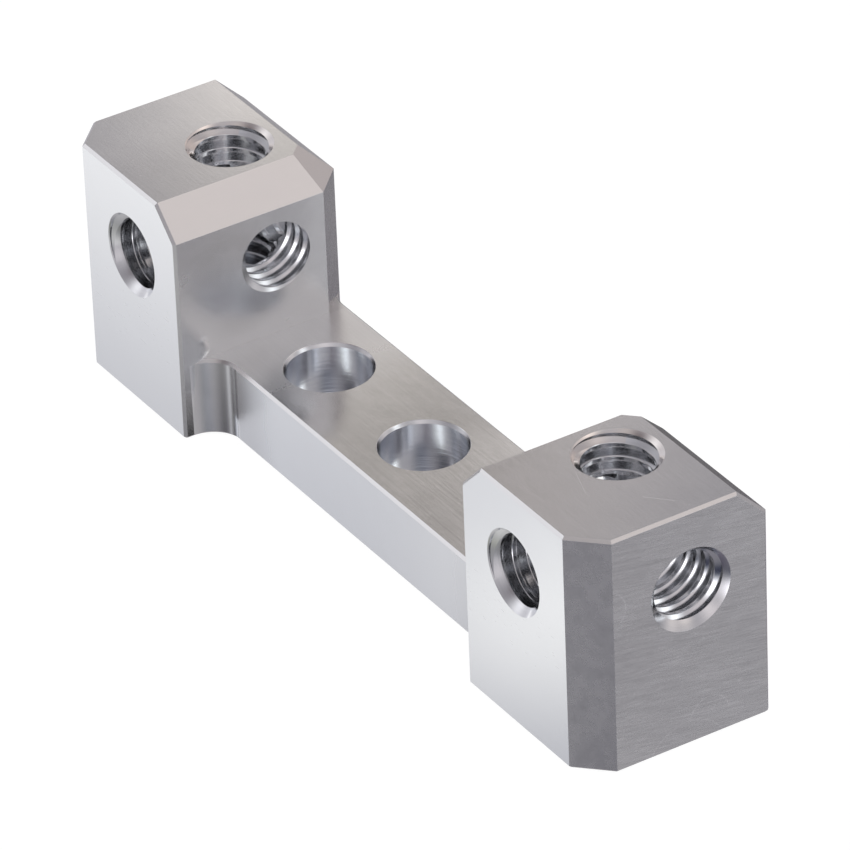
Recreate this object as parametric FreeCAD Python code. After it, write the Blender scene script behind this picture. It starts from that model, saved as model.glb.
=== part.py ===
import FreeCAD, Part
import math
import os

# A machined mounting block: two tall end blocks joined by a low web, all one piece of metal.
# Millimetres. X runs along the part, Z is up, and the block stands on Z = 0.
# The origin is under the middle of the part, midway across the end blocks.

# End blocks
block_length = 9.5
block_width = 9.5
block_height = 12.0
block_gap = 24.0

# Large chamfers of each end block
top_chamfer = 1.5
inner_corner_chamfer = 1.5
outer_corner_chamfer = 1.5

# Web between the blocks, centred on the line of holes
web_width = 7.0
web_thickness = 4.0
web_corner_radius = 1.5
web_corner_rest = 0.05

# Small break along the sharp outer edges
edge_break = 0.13

# Threaded holes, M4 x 0.7, bored to the thread's minor diameter
thread_diameter = 4.0
thread_bore_diameter = 3.3
countersink_clearance = 0.1
hole_from_inner_face = 4.0
hole_from_back_face = 4.0
hole_from_top = 4.0

# Plain holes down through the web
web_hole_diameter = 4.05
web_hole_spacing = 8.0
web_hole_count = 3
web_hole_break_width = 0.09
web_hole_break_depth = 0.17

# Places that follow from the sizes
inner_face_x = block_gap / 2
outer_face_x = inner_face_x + block_length
side_y = block_width / 2
hole_x = inner_face_x + hole_from_inner_face
hole_y = side_y - hole_from_back_face
hole_z = block_height - hole_from_top
web_front_y = hole_y - web_width / 2
web_back_y = hole_y + web_width / 2
corner_facet_x = inner_face_x + web_back_y - (side_y - inner_corner_chamfer)
whole_size = 2 * outer_face_x + block_width + block_height
tolerance = 1e-6

# Directions at the +X end: outer is away from mid-length, and front is the -Y side
outer = FreeCAD.Vector(1, 0, 0)
inner = FreeCAD.Vector(-1, 0, 0)
back = FreeCAD.Vector(0, 1, 0)
front = FreeCAD.Vector(0, -1, 0)
up = FreeCAD.Vector(0, 0, 1)
down = FreeCAD.Vector(0, 0, -1)
origin = FreeCAD.Vector(0, 0, 0)


def cut_beyond(shape, point, outward):
    """Removes all that lies on the outward side of a plane."""
    slab = Part.makeBox(whole_size, whole_size, whole_size)
    slab.translate(FreeCAD.Vector(-whole_size / 2, -whole_size / 2, 0))
    slab.Placement = FreeCAD.Placement(point, FreeCAD.Rotation(up, outward)).multiply(slab.Placement)
    return shape.cut(slab)


def broken_edge(point, first_normal, second_normal):
    """The small flat along the edge, through a point, of two faces: a point on it and its normal."""
    first = FreeCAD.Vector(first_normal).normalize()
    second = FreeCAD.Vector(second_normal).normalize()
    outward = (first + second).normalize()
    depth = edge_break * math.sqrt((1 - first.dot(second)) / 2)
    return point - outward * depth, outward


def break_edge(shape, point, first_normal, second_normal):
    """Takes the sharp edge off two faces that meet in a straight line through a point."""
    return cut_beyond(shape, *broken_edge(point, first_normal, second_normal))


def end_block():
    """The end block at the +X end, with its large chamfers and broken edges."""
    low_corner = outer * inner_face_x + front * side_y
    block = Part.makeBox(block_length, block_width, block_height, low_corner)
    outer_corner = outer * (outer_face_x - outer_corner_chamfer) + front * side_y
    inner_corner = outer * inner_face_x + back * (side_y - inner_corner_chamfer)
    block = cut_beyond(block, outer_corner, outer + front)
    block = cut_beyond(block, inner_corner, inner + back)

    # One slope of 45 degrees runs round the top: inner face, inner corner, back face
    slope_foot = up * (block_height - top_chamfer)
    inner_foot = inner_corner + slope_foot
    back_foot = back * side_y + slope_foot
    corner_out = (inner + back).normalize()
    block = cut_beyond(block, inner_foot, inner + up)
    block = cut_beyond(block, inner_foot, corner_out + up)
    block = cut_beyond(block, back_foot, back + up)

    top_level = up * block_height
    block = break_edge(block, outer * outer_face_x + top_level, outer, up)
    block = break_edge(block, front * side_y + top_level, front, up)
    block = break_edge(block, outer_corner + top_level, outer + front, up)
    block = break_edge(block, low_corner + slope_foot, front, inner + up)
    block = break_edge(block, outer * outer_face_x + back_foot, outer, back + up)

    # The upright edges, and then the outline that stands on the ground
    front_inner_edge = broken_edge(low_corner, front, inner)
    back_outer_edge = broken_edge(outer * outer_face_x + back * side_y, back, outer)
    block = cut_beyond(block, *front_inner_edge)
    block = cut_beyond(block, *back_outer_edge)
    outline = [
        front_inner_edge,
        back_outer_edge,
        (low_corner, front),
        (low_corner, inner),
        (outer * outer_face_x, outer),
        (outer_corner, outer + front),
        (inner_corner, inner + back),
        (back * side_y, back),
    ]
    for point, side in outline:
        block = break_edge(block, point, side, down)
    return block


def flare(corner, along, away, turn, step):
    """An arc from a straight side into the face it runs up to, with both of its ends.

    The step is how far that face stands out from the side, and the arc ends before its edge.
    """
    radius = min(web_corner_radius, (step - web_corner_rest) / (1 - math.cos(turn)))
    start = corner - along * radius * math.tan(turn / 2)
    centre = start + away * radius

    def on_arc(angle):
        return centre + (along * math.sin(angle) - away * math.cos(angle)) * radius

    end = on_arc(turn)
    return start, Part.Arc(start, on_arc(turn / 2), end).toShape(), end


def line(first, last):
    return Part.LineSegment(first, last).toShape()


def half_web():
    """The web from mid-length to inside the +X block, flaring out where it meets the block."""
    front_corner = outer * inner_face_x + back * web_front_y
    back_corner = outer * corner_facet_x + back * web_back_y
    front_step = side_y - edge_break + web_front_y
    back_step = side_y - web_back_y
    front_start, front_arc, front_end = flare(front_corner, outer, front, math.pi / 2, front_step)
    back_start, back_arc, back_end = flare(back_corner, outer, back, math.pi / 4, back_step)
    front_inside = outer * hole_x + back * front_end.y
    back_inside = outer * hole_x + back * hole_y
    front_middle = back * web_front_y
    back_middle = back * web_back_y
    outline = [
        line(front_middle, front_start),
        front_arc,
        line(front_end, front_inside),
        line(front_inside, back_inside),
        line(back_inside, back_end),
        back_arc,
        line(back_start, back_middle),
        line(back_middle, front_middle),
    ]
    bar = Part.Face(Part.Wire(outline)).extrude(up * web_thickness)
    open_rims = [edge for edge in bar.Edges if is_open_rim(edge, front_end, back_end)]
    return bar.makeChamfer(edge_break, open_rims)


def is_open_rim(edge, front_end, back_end):
    """Tells the level edges of the web's two open sides from its other edges."""
    if edge.BoundBox.ZLength > tolerance:
        return False
    at_front = edge.BoundBox.YMax < web_front_y + tolerance and edge.BoundBox.XMax < front_end.x + tolerance
    at_back = edge.BoundBox.YMin > web_back_y - tolerance and edge.BoundBox.XMax < back_end.x + tolerance
    return at_front or at_back


def thread_bore(body, mouth, outward, depth):
    """A through bore at the thread's minor diameter, countersunk at 90 degrees at its mouth."""
    rim_radius = (thread_diameter + countersink_clearance) / 2
    proud = rim_radius
    bore = Part.makeCylinder(thread_bore_diameter / 2, depth, mouth, -outward)
    countersink = Part.makeCone(rim_radius + proud, 0, rim_radius + proud, mouth + outward * proud, -outward)
    return body.cut([bore, countersink])


def block_holes(body, along):
    """Three threaded holes through one end block, which all meet in its inside."""
    centre = along * hole_x + back * hole_y + up * hole_z
    body = thread_bore(body, centre + along * (outer_face_x - hole_x), along, block_length)
    body = thread_bore(body, centre + front * (side_y + hole_y), front, block_width)
    body = thread_bore(body, centre + up * hole_from_top, up, block_height)
    return body


def web_hole(body, place):
    """A plain hole down through the web, its rim broken at the top and at the bottom."""
    radius = web_hole_diameter / 2
    rim_radius = radius + web_hole_break_width
    bore = Part.makeCylinder(radius, web_thickness, place, up)
    lower = Part.makeCone(rim_radius, radius, web_hole_break_depth, place, up)
    upper = Part.makeCone(rim_radius, radius, web_hole_break_depth, place + up * web_thickness, down)
    return body.cut([bore, lower, upper])


def web_holes(body):
    first = -(web_hole_count - 1) / 2 * web_hole_spacing
    for number in range(web_hole_count):
        body = web_hole(body, outer * (first + number * web_hole_spacing) + back * hole_y)
    return body


def mounting_block():
    half = end_block().fuse(half_web())
    body = half.fuse(half.mirror(origin, outer)).removeSplitter()
    body = block_holes(body, outer)
    body = block_holes(body, inner)
    return web_holes(body)


os.makedirs("parts", exist_ok=True)
mounting_block().exportStep("parts/mounting_block.step")
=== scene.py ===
import bpy
import math
from mathutils import Matrix, Vector


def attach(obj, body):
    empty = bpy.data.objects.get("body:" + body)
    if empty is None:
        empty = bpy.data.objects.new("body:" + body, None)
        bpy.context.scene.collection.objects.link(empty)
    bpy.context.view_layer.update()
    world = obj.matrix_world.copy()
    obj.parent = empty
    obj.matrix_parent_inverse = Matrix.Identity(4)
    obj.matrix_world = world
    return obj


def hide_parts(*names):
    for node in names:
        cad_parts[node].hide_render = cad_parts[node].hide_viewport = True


# A machined mounting block in bare aluminium: two tall end blocks on a low web, one piece.
# Metres. X runs along the block, Z is up, and it stands on Z = 0.

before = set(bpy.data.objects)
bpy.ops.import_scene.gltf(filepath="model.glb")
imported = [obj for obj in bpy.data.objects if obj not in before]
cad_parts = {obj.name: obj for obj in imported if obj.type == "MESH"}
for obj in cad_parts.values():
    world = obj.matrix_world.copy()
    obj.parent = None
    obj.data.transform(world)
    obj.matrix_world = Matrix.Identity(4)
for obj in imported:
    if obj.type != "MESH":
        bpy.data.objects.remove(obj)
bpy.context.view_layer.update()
mm = 0.001

# The part's own sizes
block_length = 9.5 * mm
block_width = 9.5 * mm
block_height = 12.0 * mm
block_gap = 24.0 * mm
top_chamfer = 1.5 * mm
inner_corner_chamfer = 1.5 * mm
outer_corner_chamfer = 1.5 * mm
web_width = 7.0 * mm
web_thickness = 4.0 * mm
web_corner_radius = 1.5 * mm
edge_break = 0.13 * mm
thread_diameter = 4.0 * mm
thread_bore_diameter = 3.3 * mm
thread_pitch = 0.7 * mm
countersink_clearance = 0.1 * mm
hole_from_inner_face = 4.0 * mm
hole_from_back_face = 4.0 * mm
hole_from_top = 4.0 * mm
web_hole_diameter = 4.05 * mm
web_hole_spacing = 8.0 * mm
web_hole_count = 3
web_hole_break_width = 0.09 * mm
web_hole_break_depth = 0.17 * mm

# How finely the round forms are divided: steps in a turn, and in a quarter turn of a flare
thread_steps = 72
turned_steps = 128
flare_steps = 24

# How far the sharp edges are dulled, and the angles that tell flat, smooth and sharp edges apart
deburr = 0.018 * mm
flat_angle = math.radians(0.5)
smooth_angle = math.radians(12)
sharp_angle = math.radians(20)

# Places that follow from the sizes
inner_face_x = block_gap / 2
outer_face_x = inner_face_x + block_length
side_y = block_width / 2
hole_x = inner_face_x + hole_from_inner_face
hole_y = side_y - hole_from_back_face
hole_z = block_height - hole_from_top
web_front_y = hole_y - web_width / 2
web_back_y = hole_y + web_width / 2
corner_facet_x = inner_face_x + web_back_y - (side_y - inner_corner_chamfer)
thread_radius = thread_diameter / 2
bore_radius = thread_bore_diameter / 2
rim_radius = thread_radius + countersink_clearance / 2
web_hole_radius = web_hole_diameter / 2
web_rim_radius = web_hole_radius + web_hole_break_width

# Points nearer than these are taken as level with each other, or merged
close = 0.001 * mm
weld = 0.0005 * mm

outer = Vector((1, 0, 0))
inner = Vector((-1, 0, 0))
back = Vector((0, 1, 0))
front = Vector((0, -1, 0))
up = Vector((0, 0, 1))
down = Vector((0, 0, -1))


# Modelling steps

def deselect():
    bpy.ops.object.select_all(action="DESELECT")


def activate(piece):
    deselect()
    piece.select_set(True)
    bpy.context.view_layer.objects.active = piece


def named(name):
    """Names the new object and its mesh."""
    piece = bpy.context.object
    piece.name = name
    piece.data.name = name
    return piece


def block_between(name, low, high):
    """A rectangular block between two corners."""
    deselect()
    low, high = Vector(low), Vector(high)
    bpy.ops.mesh.primitive_cube_add(size=1, location=(low + high) / 2)
    bpy.context.object.scale = high - low
    bpy.ops.object.transform_apply(location=True, rotation=True, scale=True)
    return named(name)


def start_point(name, point):
    """An object of one vertex, from which an outline is drawn by extrusion."""
    deselect()
    bpy.ops.mesh.primitive_plane_add(size=mm)
    piece = named(name)
    bpy.ops.object.mode_set(mode="EDIT")
    bpy.ops.mesh.select_mode(type="VERT")
    bpy.ops.mesh.merge(type="CENTER")
    bpy.ops.transform.translate(value=point)
    return piece


def draw(step):
    """Extrudes the selected vertex or edge by one step."""
    bpy.ops.mesh.extrude_region_move(TRANSFORM_OT_translate={"value": step})


def cut_beyond(piece, point, outward, fill=True):
    """Cuts a piece along a plane, drops what lies on the outward side and closes the cut."""
    activate(piece)
    bpy.ops.object.mode_set(mode="EDIT")
    bpy.ops.mesh.select_all(action="SELECT")
    bpy.ops.mesh.bisect(
        plane_co=point, plane_no=outward, use_fill=fill, clear_outer=True, threshold=close / 10
    )
    bpy.ops.object.mode_set(mode="OBJECT")


def broken_edge(point, first_normal, second_normal):
    """The small flat on the edge, through a point, of two faces: a point on it and its normal."""
    first = first_normal.normalized()
    second = second_normal.normalized()
    outward = (first + second).normalized()
    depth = edge_break * math.sqrt((1 - first.dot(second)) / 2)
    return point - outward * depth, outward


def break_edge(piece, point, first_normal, second_normal):
    cut_beyond(piece, *broken_edge(point, first_normal, second_normal))


def apply_modifier(piece, kind, **settings):
    activate(piece)
    modifier = piece.modifiers.new(kind.title(), kind)
    for name, value in settings.items():
        setattr(modifier, name, value)
    bpy.ops.object.modifier_apply(modifier=modifier.name)


def combine(piece, tool, operation):
    """Adds a tool to a piece or cuts it away, and removes the tool."""
    apply_modifier(piece, "BOOLEAN", object=tool, operation=operation, solver="EXACT")
    mesh = tool.data
    bpy.data.objects.remove(tool)
    bpy.data.meshes.remove(mesh)


def join(pieces):
    deselect()
    for piece in pieces:
        piece.select_set(True)
    bpy.context.view_layer.objects.active = pieces[0]
    bpy.ops.object.join()
    return pieces[0]


def outward_faces(piece):
    bpy.ops.object.mode_set(mode="OBJECT")
    activate(piece)
    bpy.ops.object.mode_set(mode="EDIT")
    bpy.ops.mesh.select_all(action="SELECT")
    bpy.ops.mesh.remove_doubles(threshold=weld)
    bpy.ops.mesh.normals_make_consistent(inside=False)
    bpy.ops.object.mode_set(mode="OBJECT")


def select_in_edit(piece, kind, test):
    """Opens a piece in edit mode, with the edges or faces selected whose corners pass a test."""
    bpy.ops.object.mode_set(mode="OBJECT")
    activate(piece)
    bpy.ops.object.mode_set(mode="EDIT")
    bpy.ops.mesh.select_mode(type=kind)
    bpy.ops.mesh.select_all(action="DESELECT")
    bpy.ops.object.mode_set(mode="OBJECT")
    mesh = piece.data
    for element in mesh.edges if kind == "EDGE" else mesh.polygons:
        element.select = test([mesh.vertices[v].co for v in element.vertices])
    bpy.ops.object.mode_set(mode="EDIT")


# The body

def end_block():
    """The end block at the +X end, with its large chamfers and broken edges."""
    low_corner = outer * inner_face_x + front * side_y
    block = block_between(
        "block", low_corner, outer * outer_face_x + back * side_y + up * block_height
    )
    outer_corner = outer * (outer_face_x - outer_corner_chamfer) + front * side_y
    inner_corner = outer * inner_face_x + back * (side_y - inner_corner_chamfer)
    cut_beyond(block, outer_corner, outer + front)
    cut_beyond(block, inner_corner, inner + back)

    # One slope of 45 degrees runs round the top: inner face, inner corner, back face
    slope_foot = up * (block_height - top_chamfer)
    inner_foot = inner_corner + slope_foot
    back_foot = back * side_y + slope_foot
    cut_beyond(block, inner_foot, inner + up)
    cut_beyond(block, inner_foot, (inner + back).normalized() + up)
    cut_beyond(block, back_foot, back + up)

    top_level = up * block_height
    break_edge(block, outer * outer_face_x + top_level, outer, up)
    break_edge(block, front * side_y + top_level, front, up)
    break_edge(block, outer_corner + top_level, outer + front, up)
    break_edge(block, low_corner + slope_foot, front, inner + up)
    break_edge(block, outer * outer_face_x + back_foot, outer, back + up)

    # The upright edges, and then the outline that stands on the ground
    front_inner_edge = broken_edge(low_corner, front, inner)
    back_outer_edge = broken_edge(outer * outer_face_x + back * side_y, back, outer)
    cut_beyond(block, *front_inner_edge)
    cut_beyond(block, *back_outer_edge)
    outline = [
        front_inner_edge,
        back_outer_edge,
        (low_corner, front),
        (low_corner, inner),
        (outer * outer_face_x, outer),
        (outer_corner, outer + front),
        (inner_corner, inner + back),
        (back * side_y, back),
    ]
    for point, side in outline:
        break_edge(block, point, side, down)
    return block


def turn_outline(centre, angle):
    """Spins the selected upright edge clockwise, seen from above, about an upright axis."""
    steps = round(flare_steps * angle / (math.pi / 2))
    bpy.ops.mesh.spin(steps=steps, angle=angle, center=centre, axis=(0, 0, 1))


def half_web():
    """The web from mid-length to inside the +X block, flaring out where it meets the block."""
    radius = web_corner_radius
    back_turn = math.pi / 4
    back_reach = radius * math.tan(back_turn / 2)
    front_start = Vector((inner_face_x - radius, web_front_y, 0))
    front_end = Vector((inner_face_x, web_front_y - radius, 0))
    back_start = Vector((corner_facet_x - back_reach, web_back_y, 0))
    back_end = Vector((corner_facet_x, web_back_y, 0)) + (outer + back).normalized() * back_reach
    inside = mm * (outer + front).normalized()
    within = Vector((hole_x, hole_y, 0))

    web = start_point("web", Vector((0, web_front_y, 0)))
    draw(up * web_thickness)
    bpy.ops.mesh.select_all(action="SELECT")
    draw(outer * front_start.x)
    turn_outline(front_start + front * radius, math.pi / 2)
    draw(outer * (hole_x - front_end.x))
    draw(within - Vector((hole_x, front_end.y, 0)))
    draw(back_end + inside - within)
    draw(-inside)
    turn_outline(back_start + back * radius, back_turn)
    draw(inner * back_start.x)
    draw(front * (web_back_y - web_front_y))
    bpy.ops.mesh.select_all(action="SELECT")
    bpy.ops.mesh.remove_doubles(threshold=weld)
    for level in (0, web_thickness):
        select_in_edit(web, "EDGE", lambda ends: all(abs(p.z - level) < close for p in ends))
        bpy.ops.mesh.edge_face_add()
    outward_faces(web)

    def is_open_rim(ends):
        level = abs(ends[0].z - ends[1].z) < close
        at_front = all(p.y < web_front_y + close and p.x < front_end.x + close for p in ends)
        at_back = all(p.y > web_back_y - close and p.x < back_end.x + close for p in ends)
        return level and (at_front or at_back)

    select_in_edit(web, "EDGE", is_open_rim)
    bpy.ops.mesh.bevel(offset=edge_break, segments=1, affect="EDGES")
    bpy.ops.object.mode_set(mode="OBJECT")
    return web


def mounting_body():
    """Both end blocks and the web in one closed shell, its sharp edges lightly dulled."""
    body = end_block()
    combine(body, half_web(), "UNION")
    select_in_edit(body, "FACE", lambda corners: all(abs(p.x) < close for p in corners))
    bpy.ops.mesh.delete(type="FACE")
    bpy.ops.object.mode_set(mode="OBJECT")
    apply_modifier(body, "MIRROR", merge_threshold=weld)
    outward_faces(body)
    activate(body)
    bpy.ops.object.mode_set(mode="EDIT")
    bpy.ops.mesh.select_all(action="SELECT")
    bpy.ops.mesh.dissolve_limited(angle_limit=flat_angle)
    bpy.ops.object.mode_set(mode="OBJECT")
    apply_modifier(
        body, "BEVEL", width=deburr, segments=1, limit_method="ANGLE", angle_limit=sharp_angle,
        offset_type="OFFSET",
    )
    return body


# The holes

def aim(tool, place, outward):
    """Turns a tool made along Z to point outward, and puts its origin at a place."""
    turn = outward.to_track_quat("Z", "Y").to_matrix().to_4x4()
    tool.matrix_world = Matrix.Translation(place) @ turn
    activate(tool)
    bpy.ops.object.transform_apply(location=True, rotation=True, scale=True)
    return tool


def turned(name, profile):
    """A solid of revolution about Z from the (radius, height) points of its profile."""
    points = [Vector((radius, 0, height)) for radius, height in profile]
    tool = start_point(name, points[0])
    for first, second in zip(points, points[1:]):
        draw(second - first)
    bpy.ops.object.mode_set(mode="OBJECT")
    apply_modifier(
        tool, "SCREW", steps=turned_steps, render_steps=turned_steps,
        use_merge_vertices=True, merge_threshold=weld,
    )
    outward_faces(tool)
    return tool


def thread_cutter(name, place, outward, reach, depth, groove):
    """A right-hand thread's form, from its reach outside a mouth to a depth below it.

    The groove says how far below the mouth a groove passes the cutter's own X side.
    """
    root_flat = thread_pitch / 8
    flank = (thread_radius - bore_radius) * math.tan(math.pi / 6)
    crest_flat = thread_pitch - root_flat - 2 * flank
    blunt = 0.02 * mm
    off_bore = bore_radius + blunt * math.cos(math.pi / 6)
    up_flank = blunt * math.sin(math.pi / 6)
    crest_end = crest_flat / 2
    root_start = crest_end + flank
    next_crest = root_start + root_flat + flank
    profile = [
        (bore_radius, blunt - crest_end),
        (bore_radius, crest_end - blunt),
        (off_bore, crest_end + up_flank),
        (thread_radius, root_start),
        (thread_radius, root_start + root_flat),
        (off_bore, next_crest - up_flank),
        (bore_radius, next_crest + blunt),
    ]
    points = [Vector((radius, 0, height)) for radius, height in profile]

    spare_turns = 2
    turns = math.ceil((reach + depth) / thread_pitch) + 2 * spare_turns
    start = -depth - spare_turns * thread_pitch
    groove_centre = root_start + root_flat / 2
    start += (-groove - groove_centre - start) % thread_pitch
    lift = Vector((0, 0, start))
    tool = start_point(name, points[0] + lift)
    for first, second in zip(points, points[1:]):
        draw(second - first)
    bpy.ops.object.mode_set(mode="OBJECT")
    apply_modifier(
        tool, "SCREW", steps=thread_steps, render_steps=thread_steps, screw_offset=thread_pitch,
        iterations=turns, use_merge_vertices=True, merge_threshold=weld,
    )
    outward_faces(tool)
    cut_beyond(tool, (0, 0, reach), (0, 0, 1))
    cut_beyond(tool, (0, 0, -depth), (0, 0, -1))
    outward_faces(tool)
    return aim(tool, place, outward)


def countersink(name, place, outward):
    """A 90 degree cone at a threaded hole's mouth, its rim a little dulled."""
    profile = [
        (0, -rim_radius),
        (rim_radius - deburr / 2, -deburr / 2),
        (rim_radius + deburr, deburr / 2),
        (rim_radius + deburr, 2 * deburr),
        (0, 2 * deburr),
    ]
    return aim(turned(name, profile), place, outward)


def web_hole_cutter(name, x):
    """A plain hole's form down through the web, its rim broken at the top and at the bottom."""
    rim = web_rim_radius
    proud = 0.5 * mm
    profile = [
        (0, -proud),
        (rim + deburr, -proud),
        (rim + deburr, 0),
        (rim, deburr),
        (web_hole_radius, web_hole_break_depth),
        (web_hole_radius, web_thickness - web_hole_break_depth),
        (rim, web_thickness - deburr),
        (rim + deburr, web_thickness),
        (rim + deburr, web_thickness + proud),
        (0, web_thickness + proud),
    ]
    return aim(turned(name, profile), outer * x + back * hole_y, up)


# How far below the mouth the threads' grooves pass the start side of their cutters
grooves = {"end": 0.40 * mm, "front": 0.43 * mm, "top": 0.17 * mm}


def drill(body):
    """Cuts the web's plain holes, then the threads kind by kind, and then all their mouths."""
    first = -(web_hole_count - 1) / 2 * web_hole_spacing
    places = [first + number * web_hole_spacing for number in range(web_hole_count)]
    combine(body, join([web_hole_cutter("web_drill", x) for x in places]), "DIFFERENCE")

    clear = 0.4 * mm
    mouths = []
    for side, along in (("right", outer), ("left", inner)):
        centre = along * hole_x + back * hole_y + up * hole_z
        mouths += [
            ("end_" + side, centre + along * (outer_face_x - hole_x), along, block_length),
            ("front_" + side, centre + front * (side_y + hole_y), front, block_width),
            ("top_" + side, centre + up * hole_from_top, up, block_height),
        ]
    for kind, groove in grooves.items():
        chosen = [mouth for mouth in mouths if mouth[0].startswith(kind)]
        cutters = [
            thread_cutter(name, place, outward, clear, depth + clear, groove)
            for name, place, outward, depth in chosen
        ]
        combine(body, join(cutters), "DIFFERENCE")
    sinks = [countersink(name, place, outward) for name, place, outward, depth in mouths]
    combine(body, join(sinks), "DIFFERENCE")
    return body


def finished_block():
    block = drill(mounting_body())
    block.name = "machined_block"
    block.data.name = "machined_block"
    activate(block)
    bpy.ops.object.mode_set(mode="EDIT")
    bpy.ops.mesh.select_all(action="SELECT")
    bpy.ops.mesh.remove_doubles(threshold=weld / 2)
    bpy.ops.object.mode_set(mode="OBJECT")
    bpy.ops.object.shade_smooth_by_angle(angle=smooth_angle)
    return block


piece = finished_block()


# Shader recipes

class Socket:
    """One output in a node tree, which adds and multiplies as a number does."""

    def __init__(self, recipe, node, output=0):
        self.recipe = recipe
        self.node = node
        self.output = node.outputs[output]

    def other(self, output):
        return Socket(self.recipe, self.node, output)

    def maths(self, operation, *values):
        sockets = dict(enumerate(values))
        return self.recipe.add("ShaderNodeMath", {"operation": operation}, sockets)

    def __add__(self, value):
        return self.maths("ADD", self, value)

    def __radd__(self, value):
        return self.maths("ADD", value, self)

    def __sub__(self, value):
        return self.maths("SUBTRACT", self, value)

    def __rsub__(self, value):
        return self.maths("SUBTRACT", value, self)

    def __mul__(self, value):
        return self.maths("MULTIPLY", self, value)

    def __rmul__(self, value):
        return self.maths("MULTIPLY", value, self)

    def __truediv__(self, value):
        return self.maths("DIVIDE", self, value)

    def __rtruediv__(self, value):
        return self.maths("DIVIDE", value, self)

    def __pow__(self, value):
        return self.maths("POWER", self, value)

    def __rpow__(self, value):
        return self.maths("POWER", value, self)

    def __neg__(self):
        return self.maths("MULTIPLY", self, -1)

    def __abs__(self):
        return self.maths("ABSOLUTE", self)


class Recipe:
    """The node tree of one material or world, built from its inputs toward its output."""

    def __init__(self, owner):
        owner.use_nodes = True
        self.tree = owner.node_tree
        self.tree.nodes.clear()

    def add(self, kind, settings, sockets, output=0):
        node = self.tree.nodes.new(kind)
        for name, value in settings.items():
            setattr(node, name, value)
        for name, value in sockets.items():
            if isinstance(value, Socket):
                self.tree.links.new(value.output, node.inputs[name])
            else:
                node.inputs[name].default_value = value
        return Socket(self, node, output)

    def xyz(self, vector):
        parts = self.add("ShaderNodeSeparateXYZ", {}, {"Vector": vector})
        return parts, parts.other(1), parts.other(2)

    def vector(self, x, y, z):
        return self.add("ShaderNodeCombineXYZ", {}, {"X": x, "Y": y, "Z": z})

    def scaled(self, colour, amount):
        settings = {"operation": "SCALE"}
        return self.add("ShaderNodeVectorMath", settings, {0: colour, "Scale": amount})

    def summed(self, first, second):
        return self.add("ShaderNodeVectorMath", {"operation": "ADD"}, {0: first, 1: second})

    def noise(self, x, y, z, detail=2.0, harshness=0.5):
        """Noise about zero, one cell for each unit of the place."""
        sockets = {"Vector": self.vector(x, y, z), "Scale": 1.0}
        sockets.update({"Detail": detail, "Roughness": harshness})
        return self.add("ShaderNodeTexNoise", {}, sockets) - 0.5

    def fine_noise(self, x, y, z):
        """Noise that keeps a little more of its finest detail."""
        return self.noise(x, y, z, detail=2.0, harshness=0.6)

    def soft_step(self, value, low, high):
        """Rises smoothly from nought to one between two values."""
        settings = {"interpolation_type": "SMOOTHSTEP"}
        sockets = {"Value": value, "From Min": low, "From Max": high, "To Min": 0.0, "To Max": 1.0}
        return self.add("ShaderNodeMapRange", settings, sockets)

    def specks(self, x, y, z, size, share):
        """Small round specks in a share of the cells, one cell for each unit of the place."""
        sockets = {"Vector": self.vector(x, y, z), "Scale": 1.0}
        cells = self.add("ShaderNodeTexVoronoi", {}, sockets)
        chance = self.xyz(cells.other(1))[0]
        chosen = self.soft_step(chance, 1 - share, 1 - share / 2)
        return chosen * (1 - self.soft_step(cells, size / 2, size))

    def place_in_mm(self):
        place = self.add("ShaderNodeTexCoord", {}, {}, output=3)
        return self.xyz(self.scaled(place, 1 / mm))

    def finish(self, shader):
        """Leads the finished shader to the tree's end."""
        world = shader.node.type == "BACKGROUND"
        end = self.tree.nodes.new("ShaderNodeOutputWorld" if world else "ShaderNodeOutputMaterial")
        self.tree.links.new(shader.output, end.inputs["Surface"])


def line_mark(recipe, across, along, width, length):
    """A fine straight mark: one on its middle line, fading out to nought beside and beyond it."""
    side = 1 - recipe.soft_step(abs(across), width * 0.3, width)
    reach = 1 - recipe.soft_step(abs(along), length * 0.35, length / 2)
    return side * reach


def ring_mark(recipe, across, up_by, radius, width, lowest, highest):
    """A fine round mark about a point, kept to a part of the circle by its height on it.

    The heights are in radii, so the whole circle reaches from minus one to one.
    """
    fade = 0.15
    distance = (across * across + up_by * up_by) ** 0.5
    ring = 1 - recipe.soft_step(abs(distance - radius), width * 0.3, width)
    height = up_by / radius
    above = recipe.soft_step(height, lowest - fade, lowest + fade)
    return ring * above * (1 - recipe.soft_step(height, highest - fade, highest + fade))


metal_tint = (0.90, 0.90, 0.905)
# Painted reflection tints: cool in the bores, warm in the top holes' countersinks
bore_reflection_tint = (0.88, 0.893, 0.915)
warm_mouth_reflection_tint = (0.92, 0.885, 0.86)


def metal(name, tint, pattern):
    """A finish of the bare metal: its pattern gives a tone about one, a roughness and a height."""
    material = bpy.data.materials.new(name)
    recipe = Recipe(material)
    tone, roughness, height = pattern(recipe, *recipe.place_in_mm())
    bump = {"Strength": 1.0, "Distance": mm, "Height": height}
    sockets = {
        "Base Color": recipe.scaled(tint, tone),
        "Metallic": 1.0,
        "Roughness": roughness,
        "Normal": recipe.add("ShaderNodeBump", {}, bump),
    }
    recipe.finish(recipe.add("ShaderNodeBsdfPrincipled", {}, sockets))
    return material


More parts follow.
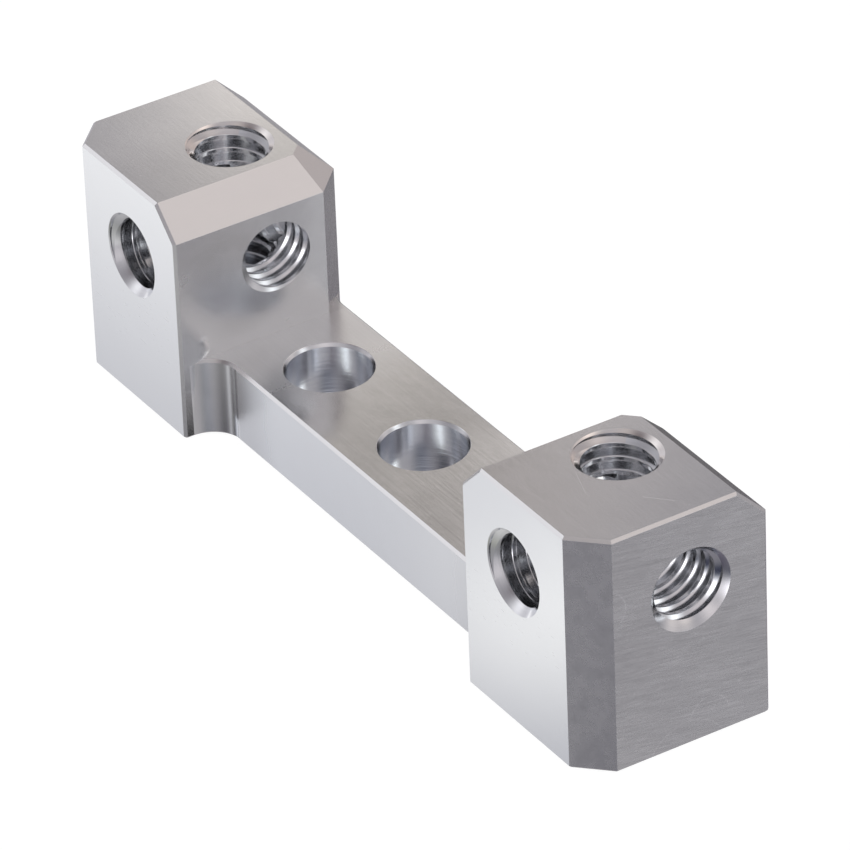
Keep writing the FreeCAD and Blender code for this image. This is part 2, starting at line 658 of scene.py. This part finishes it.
def brushed_end(recipe, x, y, z):
    """Short brush strokes almost level across the end face, with nicks and a few curved marks."""
    along = y - 0.15 * z
    across = z + 0.15 * y
    fine = recipe.fine_noise(along / 0.9, across / 0.055, x)
    broad = recipe.fine_noise(along / 2.6, across / 0.19, x + 7.0)
    cloud = recipe.noise(y / 2.4, z / 1.6, x, detail=3.0)
    stroke = recipe.noise(along / 0.7, across / 0.075, x + 3.0, detail=1.0)
    strokes = recipe.soft_step(stroke, 0.12, 0.24)
    nicks = recipe.specks(y / 0.45, z / 0.40, x, size=0.14, share=0.10)
    arc = ring_mark(recipe, y + 3.6, z - 8.4, radius=1.0, width=0.045, lowest=-0.7, highest=0.9)
    curl = ring_mark(recipe, y - 1.6, z - 1.1, radius=1.0, width=0.05, lowest=0.1, highest=1.1)
    hook = ring_mark(recipe, y - 0.4, z + 0.9, radius=2.1, width=0.05, lowest=0.5, highest=0.95)
    marks = (arc + curl + hook) * recipe.soft_step(fine, -0.22, 0.1)
    tone = 0.94 + fine * 0.30 + broad * 0.26 + cloud * 0.08 + strokes * 0.08
    tone = tone + nicks * 0.22 + marks * 0.16
    roughness = 0.26 + fine * 0.12 + cloud * 0.08
    return tone, roughness, fine * 0.0012 + broad * 0.002 - marks * 0.001


def fine_top(recipe, x, y, z):
    """Fine lines along the block, a little grain, light specks and a few faint scratches."""
    lines = recipe.fine_noise(x / 2.2, y / 0.08, z)
    grain = recipe.fine_noise(x / 0.13, y / 0.10, z)
    cloud = recipe.noise(x / 2.2, y / 1.7, z, detail=3.0)
    specks = recipe.specks(x / 0.34, y / 0.30, z, size=0.15, share=0.10)
    first_x, first_y, first_slope = 16.9, -1.75, -0.35
    second_x, second_y, second_slope = 19.9, 0.25, 0.9
    first_off = y - first_y - (x - first_x) * first_slope
    second_off = y - second_y - (x - second_x) * second_slope
    first = line_mark(recipe, first_off, x - first_x, width=0.035, length=1.9)
    second = line_mark(recipe, second_off, x - second_x, width=0.03, length=1.2)
    scratches = first + second
    # Painted shade: the far block's top grows darker toward its inner end
    inward_shade = recipe.soft_step(x, -19.0, -15.5) * (1 - recipe.soft_step(x, -2.0, 2.0))
    tone = 0.995 - inward_shade * 0.10 + lines * 0.13 + grain * 0.09 + cloud * 0.05
    tone = tone + specks * 0.20 + scratches * 0.16
    roughness = 0.15 + grain * 0.08 + cloud * 0.06
    height = lines * 0.0006 + grain * 0.0007 + cloud * 0.004 - scratches * 0.001
    return tone, roughness, height


def milled_side(recipe, x, y, z):
    """Smooth sides with faint level lines and a few short scuffs."""
    lines = recipe.fine_noise(x / 1.8, z / 0.07, y)
    grain = recipe.fine_noise(x / 0.12, z / 0.12, y)
    cloud = recipe.noise(x / 3.0, z / 2.2, y, detail=3.0)
    scuff = recipe.noise(x / 0.55, z / 0.06, y + 5.0, detail=1.0)
    band = 1 - recipe.soft_step(abs(z - 5.2 - x * 0.02), 0.8, 2.6)
    scuffs = recipe.soft_step(scuff, 0.17, 0.27) * band
    tone = 1.0 + lines * 0.03 + grain * 0.025 + cloud * 0.03 - scuffs * 0.05
    roughness = 0.24 + lines * 0.05 + cloud * 0.08 + scuffs * 0.06
    return tone, roughness, lines * 0.0007 + grain * 0.0006 + cloud * 0.004


def cloudy_chamfer(recipe, x, y, z):
    """Soft cloudy mottling, with small dark pits, and painted shade at the inner corners."""
    cloud = recipe.noise(x / 1.1 - y / 1.1, z / 0.9, x + y, detail=4.0, harshness=0.6)
    grain = recipe.fine_noise(x / 0.09, y / 0.09, z / 0.09)
    pits = recipe.specks(x / 0.5 - y / 0.5, z / 0.5, 0.0, size=0.12, share=0.12)
    # Painted shade on the upright chamfers at the inner corners
    inner_corner = 1 - recipe.soft_step(abs(x), 14.0, 15.0)
    tone = 1.07 - inner_corner * 0.30 + cloud * 0.30 + grain * 0.12 - pits * 0.10
    return tone, 0.27 + cloud * 0.10, cloud * 0.004 + grain * 0.0006


def satin_chamfer(recipe, x, y, z):
    """An even satin face with the faintest lines along it."""
    lines = recipe.fine_noise(x / 0.09, y / 1.6, z / 0.09)
    cloud = recipe.noise(x / 1.8, y / 1.8, z / 1.8, detail=3.0)
    tone = 1.0 + lines * 0.03 + cloud * 0.04
    return tone, 0.22 + cloud * 0.08, lines * 0.0004 + cloud * 0.003


def inner_face(recipe, x, y, z):
    """A milled face with faint round tool marks, soft blotches and a small bright dent.

    Painted shade makes a dark strip beside the web's corner flare, deepest at the bottom, a
    painted highlight makes a light line where the face meets the web, and painted light brightens
    its upper back.
    """
    grain = recipe.fine_noise(y / 0.12, z / 0.12, x)
    lines = recipe.fine_noise(y / 1.4, z / 0.08, x)
    cloud = recipe.noise(y / 1.3, z / 1.0, x, detail=3.0)
    ring = ring_mark(recipe, y + 3.0, z - 8.5, radius=0.95, width=0.04, lowest=-1.2, highest=1.2)
    arc = ring_mark(recipe, y + 0.6, z - 5.9, radius=1.2, width=0.04, lowest=0.3, highest=1.2)
    dent = 1 - recipe.soft_step(((y + 3.45) ** 2 + (z - 4.95) ** 2) ** 0.5, 0.05, 0.30)
    dark_patch = 1 - recipe.soft_step((((y + 1.3) / 2.0) ** 2 + (z - 5.2) ** 2) ** 0.5, 0.2, 1.0)
    # Painted light: the upper back of the face is made lighter
    upper_back_light = recipe.soft_step(y, 1.6, 3.0) * recipe.soft_step(z, 4.8, 6.0)
    # Painted shade: a dark strip beside the web's corner flare, deepest at the bottom
    strip = (1 - recipe.soft_step(y, -4.29, -4.25)) * (1 - recipe.soft_step(z, 3.85, 3.92))
    # Painted highlight: a light line along the foot of the face, where the web meets it
    painted_joint_line = (1 - recipe.soft_step(z, 4.03, 4.11)) * (1 - strip)
    tone = 0.90 + upper_back_light * 0.12 + grain * 0.03 + lines * 0.03 + cloud * 0.06
    tone = tone + (ring + arc) * 0.05 + dent * 0.09 - dark_patch * 0.07
    tone = tone - strip * (0.80 - z * 0.21) + painted_joint_line * 0.04
    height = grain * 0.0006 + cloud * 0.005 + dent * 0.01 - ring * 0.001
    return tone, 0.25 + cloud * 0.10, height


def web_face(recipe, x, y, z):
    """Fine milling lines along the web, with light mottling and painted shade at mid-length."""
    lines = recipe.fine_noise((x + y) / 3.5, y / 0.08, z + 0.4)
    broad = recipe.fine_noise((x - y) / 5.0, y / 0.20, z + 4.6)
    grain = recipe.fine_noise(x / 0.11, y / 0.11, z + 0.4)
    cloud = recipe.noise(x / 1.57 + 0.3, y / 0.9, z + 0.4, detail=3.0)
    specks = recipe.specks(x / 0.41 + 0.3, y / 0.35, z + 0.4, size=0.13, share=0.05)
    near = recipe.soft_step(x, -4.0, 5.0)
    far = 1 - recipe.soft_step(x, -10.0, -4.0)
    middle = recipe.soft_step(x, -9.0, -5.5) * (1 - recipe.soft_step(x, -1.0, 2.0))
    # Painted shade over the middle of the web, toward its back
    mid_shade = middle * recipe.soft_step(y + x * 0.35, -4.4, -2.4)
    # Painted shade: a thin dark line in the crease where the web meets the block
    painted_joint_line = recipe.soft_step(abs(x), 11.90, 11.95)
    tone = 0.995 + lines * (0.08 + near * 0.20) + broad * (0.03 + near * 0.08)
    tone = tone + grain * 0.05 + cloud * 0.05 + specks * 0.10 - mid_shade * 0.17 - painted_joint_line * 0.06
    roughness = 0.15 + far * 0.17 + grain * 0.05 + cloud * 0.05
    return tone, roughness, lines * 0.0008 + broad * 0.001 + cloud * 0.003


def web_side(recipe, x, y, z):
    """The cutter's faint upright lines on the web's sides and in its corners.

    Painted shade makes a dark line where it entered a front corner, standing in for a small step,
    and a painted highlight lies along the corner's far edge.
    """
    lines = recipe.fine_noise(x / 0.07, y / 0.07, z / 2.5)
    grain = recipe.fine_noise(x / 0.11, y / 0.11, z / 0.11)
    cloud = recipe.noise(x / 2.0, y / 2.0, z / 1.4, detail=3.0)
    specks = recipe.specks(x / 0.5, y / 0.5, z / 0.45, size=0.12, share=0.06)
    step_at = 10.56
    length = abs(x)
    # Painted shade: a thin dark line in place of a small step
    step_shade = 1 - recipe.soft_step(abs(length - step_at), 0.01, 0.05)
    step_shade = step_shade * recipe.soft_step(-y, 1.0, 2.0)
    beside = recipe.soft_step(length, 6.5, 9.5) * (1 - recipe.soft_step(length, 10.4, 10.5))
    # Painted highlight along the far edge of the front corner
    lip = recipe.soft_step(-y, 4.17, 4.22) * recipe.soft_step(z, 0.6, 3.0)
    tone = 1.0 + lines * 0.03 + grain * 0.03 + cloud * 0.04 + specks * 0.06
    tone = tone - step_shade * 0.35 + lip * 0.30
    roughness = 0.20 + beside * 0.15 + cloud * 0.08
    return tone, roughness, lines * 0.0005 + grain * 0.0005 + cloud * 0.003


def turned_hole(stretch, depth, rough, mouth=None):
    """Fine lines round a hole: their reach along the three axes, their depth and their roughness.

    A mouth gives its axis, its distance out along it and how much painted shade darkens the bore
    inside it.
    """
    def pattern(recipe, x, y, z):
        along = [axis / size for axis, size in zip((x, y, z), stretch)]
        fine = recipe.fine_noise(*along)
        broad = recipe.fine_noise(*[value * 0.35 for value in along])
        tone = 1.08
        if mouth:
            axis, distance, darker = mouth
            below = distance - abs((x, y, z)[axis])
            # Painted shade: the bore is darker a little way in from its mouth
            tone = tone - recipe.soft_step(below, 0.25, 0.5) * darker
        tone = tone + fine * 0.12 + broad * 0.08
        return tone, rough + fine * 0.06, fine * depth + broad * depth
    return pattern


def soft_edge(recipe, x, y, z):
    """Edges and other small faces, lightly uneven."""
    grain = recipe.noise(x / 0.15, y / 0.15, z / 0.15, detail=3.0, harshness=0.6)
    return 1.0 + grain * 0.12, 0.22 + grain * 0.10, grain * 0.0015


# A mouth's last number is how much painted shade darkens its bore
top_threads = turned_hole((1.2, 1.2, 0.06), 0.0004, 0.16, (2, block_height / mm, 0.16))

# The finishes in the order of their slots, and the tints of those that differ from the metal's
finishes = {
    "brushed_end": brushed_end,
    "fine_top": fine_top,
    "milled_side": milled_side,
    "cloudy_chamfer": cloudy_chamfer,
    "satin_chamfer": satin_chamfer,
    "inner_face": inner_face,
    "web_face": web_face,
    "web_side": web_side,
    "web_hole": turned_hole((1.5, 1.5, 0.07), 0.003, 0.19),
    "end_hole": turned_hole((0.06, 1.2, 1.2), 0.0005, 0.16, (0, outer_face_x / mm, 0.06)),
    "front_hole": turned_hole((1.2, 0.06, 1.2), 0.0004, 0.16, (1, side_y / mm, 0.24)),
    "top_hole": top_threads,
    "top_mouth": top_threads,
    "soft_edge": soft_edge,
}
tints = {
    "web_hole": bore_reflection_tint,
    "end_hole": bore_reflection_tint,
    "front_hole": bore_reflection_tint,
    "top_hole": bore_reflection_tint,
    "top_mouth": warm_mouth_reflection_tint,
}


# How far a normal points along an axis on a face square to it, how little along Z on an upright
# face, and how far along Z on a countersink that opens upward
square = 0.999
upright = 0.01
opening = 0.6

# Faces from these sizes up are the large upright chamfers, and the chamfers round the top
large_face = 3 * mm * mm
broad_face = mm * mm


def is_flat(face):
    """Tells a face square to one of the part's three axes and on one of its outer planes."""
    x, y, z = abs(face.center.x), face.center.y, face.center.z
    facing = [abs(value) > square for value in face.normal]
    if facing[0]:
        return min(abs(x - inner_face_x), abs(x - outer_face_x)) < close
    if facing[1]:
        return min(abs(y - web_front_y), abs(y - web_back_y), abs(abs(y) - side_y)) < close
    if facing[2]:
        return min(abs(z), abs(z - web_thickness), abs(z - block_height)) < close
    return False


def finish_of(face):
    """The name of the finish of one face, from its place and the way it looks."""
    x, y, z = abs(face.center.x), face.center.y, face.center.z
    normal = face.normal
    if not is_flat(face):
        if x < inner_face_x - close:
            along = min(abs(x), abs(x - web_hole_spacing))
            if math.hypot(along, y - hole_y) < web_rim_radius + 2 * deburr:
                return "web_hole"
        else:
            ways = {
                "end_hole": math.hypot(y - hole_y, z - hole_z),
                "front_hole": math.hypot(x - hole_x, z - hole_z),
                "top_hole": math.hypot(x - hole_x, y - hole_y),
            }
            rim = rim_radius + 2 * deburr
            inside = {name: reach for name, reach in ways.items() if reach < rim}
            if inside:
                widest = max(inside, key=inside.get)
                in_mouth = normal.z > opening and block_height - z < rim_radius - bore_radius
                return "top_mouth" if widest == "top_hole" and in_mouth else widest
        if abs(normal.z) < upright:
            if face.area > large_face and x > inner_face_x - close:
                return "cloudy_chamfer"
            beside_web = x < inner_face_x + top_chamfer and z < web_thickness
            return "web_side" if beside_web else "soft_edge"
        return "satin_chamfer" if face.area > broad_face else "soft_edge"
    if abs(normal.z) > square:
        return "fine_top" if z > web_thickness + close else "web_face"
    if abs(normal.x) > square:
        return "brushed_end" if x > outer_face_x - close else "inner_face"
    return "milled_side" if abs(y) > side_y - close else "web_side"


def dress(piece):
    """Gives every face of the block its finish."""
    piece.data.materials.clear()
    names = [finish_of(face) for face in piece.data.polygons]
    for slot, (name, pattern) in enumerate(finishes.items()):
        piece.data.materials.append(metal(name, tints.get(name, metal_tint), pattern))
        activate(piece)
        bpy.ops.object.mode_set(mode="EDIT")
        bpy.ops.mesh.select_mode(type="FACE")
        bpy.ops.mesh.select_all(action="DESELECT")
        bpy.ops.object.mode_set(mode="OBJECT")
        for face, chosen in zip(piece.data.polygons, names):
            face.select = chosen == name
        piece.active_material_index = slot
        bpy.ops.object.mode_set(mode="EDIT")
        bpy.ops.object.material_slot_assign()
        bpy.ops.object.mode_set(mode="OBJECT")


dress(piece)
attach(piece, "root")
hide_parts("mounting_block")


# The studio

# The ways a sheet lies: level, upright with its face along Y, and upright with its face along X
flat = (0, 0, 0)
upright_across = (math.pi / 2, 0, 0)
upright_along = (math.pi / 2, 0, math.pi / 2)


def plain_sheet(name, size, centre, turn):
    """A flat square of a size in millimetres about its centre."""
    deselect()
    place = Vector(centre) * mm
    bpy.ops.mesh.primitive_plane_add(size=size * mm, location=place, rotation=turn)
    return named(name)


def seen_only_in_metal(sheet):
    """Hides a sheet of the studio from all but the metal's reflections."""
    for ray in ("camera", "diffuse", "shadow", "transmission"):
        setattr(sheet, "visible_" + ray, False)


def soft_spot(x, y, reach):
    """A soft round spot: one in the middle of its sheet, fading out over its two reaches."""
    across = x / reach[0]
    along = y / reach[1]
    return math.e ** ((across * across + along * along) * -0.5)


# The floor that the camera sees, in millimetres
floor_size = 2000
floor_level = -0.1
floor = plain_sheet("floor", floor_size, (0, 0, floor_level), flat)
floor_paint = bpy.data.materials.new("floor_white")
recipe = Recipe(floor_paint)
white = {"Base Color": (0.2, 0.2, 0.2, 1), "Roughness": 1.0, "Specular IOR Level": 0.0}
white.update({"Emission Color": (1, 1, 1, 1), "Emission Strength": 0.94})
recipe.finish(recipe.add("ShaderNodeBsdfPrincipled", {}, white))
floor.data.materials.append(floor_paint)
floor.visible_glossy = False

# Lights and shades beside and under the block, seen only in the metal. Each is a sheet with one
# soft spot: its middle, the way it lies, the spot's reach in its two directions, and a light's
# colour or a shade's depth. Places and reaches are in millimetres. All but ground_back were
# first solved by a program from the tones in the photograph and rounded, and some of their values
# were then changed.
soft_lights = {
    "bright_card_left": ((-100, 58, 54), upright_along, (9, 15), (0.95, 0.90, 0.83)),
    "low_card_left": ((-103, 76, 88), upright_along, (10, 5.5), (0.66, 0.63, 0.60)),
    "tall_glow_left": ((-104, 64, 97), upright_along, (10, 29), (0.33, 0.29, 0.25)),
    "glow_back": ((-61, 104, 45), upright_across, (25, 29), (0.23, 0.17, 0.13)),
    "bright_card_back": ((51, 102, -95), upright_across, (36, 22), (1.2, 1.27, 1.27)),
    "ground_left": ((-44, -20, -0.05), flat, (37, 10), (0.44, 0.44, 0.41)),
    "ground_front": ((10, -11, -0.06), flat, (6, 5), (0.33, 0.33, 0.30)),
    "ground_back": ((-34, 19, -0.07), flat, (22, 8), (0.20, 0.20, 0.20)),
}
soft_shades = {
    "dark_card_left": ((-101, 61, 85), upright_along, (8.7, 17.5), 0.80),
    "dark_card_back": ((-111, 100, -63), upright_across, (14, 34), 0.95),
    "dark_band_back": ((-35, 101, -34), upright_across, (83, 14), 0.95),
}

# How many times its spot's longer reach a sheet is wide
reaches_across = 8


def sheet_with_spot(name, middle, turn, reach):
    """A sheet wide enough for its spot to fade out: its recipe, the spot and a clear shader."""
    sheet = plain_sheet(name, reaches_across * max(reach), middle, turn)
    material = bpy.data.materials.new(name)
    recipe = Recipe(material)
    sheet.data.materials.append(material)
    x, y = recipe.place_in_mm()[:2]
    clear = recipe.add("ShaderNodeBsdfTransparent", {}, {})
    seen_only_in_metal(sheet)
    return recipe, soft_spot(x, y, reach), clear


for name, (middle, turn, reach, colour) in soft_lights.items():
    recipe, spot, clear = sheet_with_spot(name, middle, turn, reach)
    light = recipe.add("ShaderNodeEmission", {}, {"Color": recipe.scaled(colour, spot)})
    recipe.finish(recipe.add("ShaderNodeAddShader", {}, {0: clear, 1: light}))

for name, (middle, turn, reach, depth) in soft_shades.items():
    recipe, spot, clear = sheet_with_spot(name, middle, turn, reach)
    black = recipe.add("ShaderNodeEmission", {}, {"Strength": 0.0})
    recipe.finish(recipe.add("ShaderNodeMixShader", {}, {0: spot * depth, 1: clear, 2: black}))


def lobe(recipe, direction, azimuth, elevation, tightness):
    """A soft round light in the surround about one direction, in degrees."""
    azimuth, elevation = math.radians(azimuth), math.radians(elevation)
    level = math.cos(elevation)
    middle = (math.cos(azimuth) * level, math.sin(azimuth) * level, math.sin(elevation))
    settings = {"operation": "DOT_PRODUCT"}
    facing = recipe.add("ShaderNodeVectorMath", settings, {0: direction, 1: middle}, output=1)
    return math.e ** ((facing - 1) * tightness)


# The surround: an even glow, and lights and shades that are each given by azimuth, elevation,
# tightness and the colour that they add. It is nowhere darker than its darkest tone. The glow
# and the first nine were solved by the same program and rounded. The rest were set one by one.
surround_glow = (0.305, 0.295, 0.315)
darkest = (0.02, 0.02, 0.02)
surround_lights = {
    "low window at the left": (221, -26, 45, (0.59, 0.635, 0.70)),
    "its upper edge": (252, -25, 170, (0.83, 0.86, 0.91)),
    "its dark bar": (233, -34, 90, (-0.59, -0.60, -0.60)),
    "warm window above": (55, 49, 27, (0.60, 0.52, 0.46)),
    "dark floor in front": (276, -42, 12, (-0.31, -0.30, -0.30)),
    "dark floor at the right": (334, -30, 19, (-0.41, -0.385, -0.375)),
    "strip light at the right": (341, -12, 50, (1.3, 1.3, 1.3)),
    "its soft end": (328, -12, 30, (1.2, 1.16, 1.2)),
    "small lamp behind": (33, 13, 66, (1.26, 1.3, 1.3)),
    "white window above": (217, 25, 20, (0.58, 0.58, 0.59)),
    "bright wall at the left": (186, -2, 15, (0.34, 0.34, 0.36)),
    "warm light ahead": (336, 37, 22, (0.31, 0.28, 0.27)),
    "warm light over the corner": (295, 58, 30, (0.12, 0.10, 0.08)),
    "light at the right": (301, 8, 15, (0.28, 0.26, 0.26)),
    "warm lamp behind": (76, 20, 22, (0.34, 0.30, 0.27)),
    "warm light low ahead": (358, 13, 14, (0.27, 0.24, 0.23)),
    "light overhead": (50, 84, 10, (0.15, 0.15, 0.16)),
    "low lamp behind": (55, -9, 25, (0.30, 0.29, 0.28)),
    "dark ceiling": (262, 44, 26, (-0.16, -0.17, -0.18)),
    "dark floor behind": (127, -32, 15, (-0.12, -0.13, -0.12)),
    "dark under the block": (285, -76, 10, (-0.18, -0.18, -0.17)),
}
scene = bpy.context.scene
world = bpy.data.worlds.new("studio")
scene.world = world
recipe = Recipe(world)
direction = recipe.add("ShaderNodeTexCoord", {}, {})
surround = surround_glow
for azimuth, elevation, tightness, colour in surround_lights.values():
    spot = lobe(recipe, direction, azimuth, elevation, tightness)
    surround = recipe.summed(surround, recipe.scaled(colour, spot))
sockets = {0: surround, 1: darkest}
surround = recipe.add("ShaderNodeVectorMath", {"operation": "MAXIMUM"}, sockets)
recipe.finish(recipe.add("ShaderNodeBackground", {}, {"Color": surround}))

# The camera as solved from the photograph: its place in millimetres, the vector that it is turned
# about by its own length in radians, its lens in pixels of the square frame, and how wide that
# frame is in pixels and on the film in millimetres
camera_place = (262.56, -159.06, 203.82)
camera_turn = (1.9487, 1.0422, -0.6107)
lens_in_pixels = 8151.667
frame_in_pixels = 850
film_width = 36


def photo_camera():
    """Sets up the camera, which looks along the third row of its turn, the second row down."""
    data = bpy.data.cameras.new("camera")
    camera = bpy.data.objects.new("camera", data)
    scene.collection.objects.link(camera)
    turn = Vector(camera_turn)
    right, below, ahead = Matrix.Rotation(turn.length, 3, turn.normalized())
    basis = Matrix((right, -below, -ahead)).transposed()
    camera.matrix_world = Matrix.Translation(Vector(camera_place) * mm) @ basis.to_4x4()
    data.sensor_width = film_width
    data.lens = lens_in_pixels / frame_in_pixels * film_width
    data.clip_start = 0.01
    data.clip_end = 10
    return camera


bpy.context.scene.camera = photo_camera()
scene.view_settings.view_transform = "Standard"
